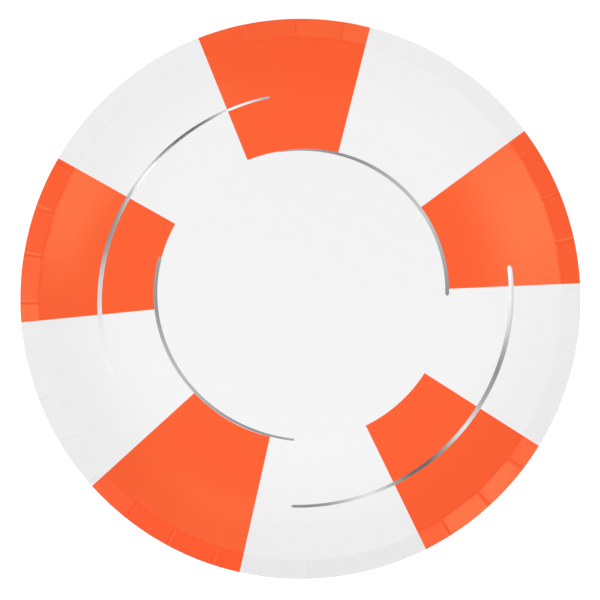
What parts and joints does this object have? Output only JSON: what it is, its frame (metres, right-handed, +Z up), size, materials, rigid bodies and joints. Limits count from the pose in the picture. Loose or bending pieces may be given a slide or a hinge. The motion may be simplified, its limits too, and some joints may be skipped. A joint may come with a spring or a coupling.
{
  "type": "paper plate",
  "caption": "Round pressed paperboard party plate with a pleated lip, printed as an orange and white life ring with silver foil rope lines.",
  "frame": {"origin": "middle of the plate, at the lowest face of its flat underside", "axes": "+Z up through the plate, out of the printed face; +Y towards the top of the printed artwork"},
  "size_m": [0.254, 0.254, 0.0141],
  "materials": {
    "coated_face": "white clay-coated paperboard, smooth, satin",
    "board_core": "pulp board, seen only at the cut edge, matt",
    "uncoated_back": "uncoated paperboard, fine fibre grain, matt",
    "orange_print": "flat offset print in orange under a thin water-based varnish, satin",
    "silver_foil": "hot-stamped silver foil, bright"
  },
  "bodies": {
    "root": {"back_ply": "uncoated_back", "core_ply": "board_core", "face_ply": "coated_face", "orange_print_top": "orange_print", "orange_print_left": "orange_print", "orange_print_lower_left": "orange_print", "orange_print_lower_right": "orange_print", "orange_print_right": "orange_print", "foil_outer_left": "silver_foil", "foil_outer_right": "silver_foil", "foil_inner_upper": "silver_foil", "foil_inner_lower": "silver_foil"}
  },
  "joints": []
}
